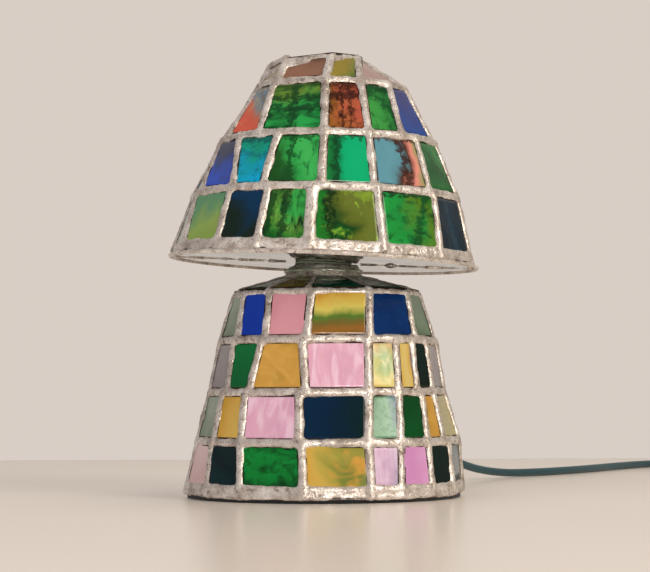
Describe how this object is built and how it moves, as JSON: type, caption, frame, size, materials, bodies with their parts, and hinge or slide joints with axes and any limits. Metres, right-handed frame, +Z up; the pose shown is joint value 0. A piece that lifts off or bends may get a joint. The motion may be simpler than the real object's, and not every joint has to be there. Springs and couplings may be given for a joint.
{
  "type": "table lamp",
  "caption": "Mushroom-shaped table lamp of leaded coloured glass: tapered hollow base, lift-off domed shade, screw-in bulb, braided lead with rocker switch and plug.",
  "frame": {"origin": "centre of the foot pad's flat underside, which rests on the table", "axes": "+Z up the lamp, -Y towards the front, +X to the right"},
  "size_m": [0.4531, 0.5295, 0.2686],
  "materials": {
    "solder": "hand-run tin solder, lumpy and bright with dull patches",
    "pink_opal_glass": "wispy opalescent sheet glass",
    "navy_glass": "dark cathedral glass",
    "amber_opal_glass": "mottled opalescent sheet glass",
    "cobalt_glass": "cathedral glass",
    "dark_green_glass": "dark cathedral glass",
    "olive_glass": "streaky cathedral glass",
    "emerald_glass": "rolled cathedral glass",
    "green_glass": "wavy cathedral glass",
    "maroon_glass": "streaky cathedral glass",
    "grey_green_glass": "pale cathedral glass",
    "clear_glass": "clear window glass",
    "brass": "turned and lacquered",
    "steel": "zinc plated",
    "felt": "dense wool felt",
    "black_plastic": "moulded phenolic",
    "rocker_plastic": "moulded, glossy",
    "ceramic": "glazed",
    "relief_rubber": "moulded soft rubber",
    "cord_braid": "braided cotton over PVC",
    "plug_pin_metal": "nickel plated brass",
    "nickel": "nickel plated brass",
    "tungsten": "drawn wire"
  },
  "bodies": {
    "base": {"base_glass_row_1": "pink_opal_glass", "base_glass_row_2": "navy_glass", "base_glass_row_3": "amber_opal_glass", "base_glass_row_4": "cobalt_glass", "base_glass_shoulder": "dark_green_glass", "base_seams": "solder", "neck_cap": "solder", "bottom_plate": "steel", "foot_pad": "felt", "lamp_pipe": "brass", "inner_washer": "steel", "pipe_nut": "brass", "holder_cap": "black_plastic", "holder_sleeve": "black_plastic", "holder_core": "ceramic", "holder_shell": "brass", "holder_contact": "brass", "lead_bushing": "brass", "strain_relief": "relief_rubber", "inner_lead": "cord_braid", "cord": "cord_braid", "cord_coil": "cord_braid", "cord_to_switch": "cord_braid", "cord_to_plug": "cord_braid", "switch_lower": "black_plastic", "switch_upper": "black_plastic", "switch_screw_1": "steel", "switch_screw_2": "steel", "switch_contact": "brass", "rocker_pin": "steel", "plug_body": "black_plastic", "plug_pin_1": "plug_pin_metal", "plug_pin_2": "plug_pin_metal", "plate_lug_1": "brass", "plate_screw_1": "steel", "plate_lug_2": "brass", "plate_screw_2": "steel", "plate_lug_3": "brass", "plate_screw_3": "steel"},
    "seat": {"seat_washer": "felt"},
    "shade": {"shade_glass_row_1": "olive_glass", "shade_glass_row_2": "emerald_glass", "shade_glass_row_3": "green_glass", "shade_glass_row_4": "maroon_glass", "shade_glass_cap": "grey_green_glass", "shade_seams": "solder", "shade_rim_wire": "solder", "shade_floor_front": "clear_glass", "shade_floor_back": "clear_glass", "shade_hole_ring": "solder"},
    "bulb": {"bulb_cap": "nickel", "bulb_contact": "nickel", "bulb_glass": "clear_glass", "bulb_stem": "clear_glass", "bulb_filament": "tungsten"},
    "rocker": {"switch_rocker": "rocker_plastic"}
  },
  "joints": [
    {"name": "shade_turn", "type": "hinge", "parent": "base", "child": "seat", "pos_m": [0.0003, 0, 0.1409], "axis": [0.0454, 0, 0.999], "continuous": true},
    {"name": "shade_lift", "type": "slide", "parent": "seat", "child": "shade", "axis": [0.0454, 0, 0.999], "range_m": [0, 0.12]},
    {"name": "bulb_turn", "type": "hinge", "parent": "base", "child": "bulb", "pos_m": [0.0003, 0, 0.1409], "axis": [0.0454, 0, 0.999], "range_deg": [0, 1080]},
    {"name": "rocker_tilt", "type": "hinge", "parent": "base", "child": "rocker", "pos_m": [0.284, 0.29, 0.0149], "axis": [1, 0, 0], "range_deg": [-16, 0]}
  ]
}
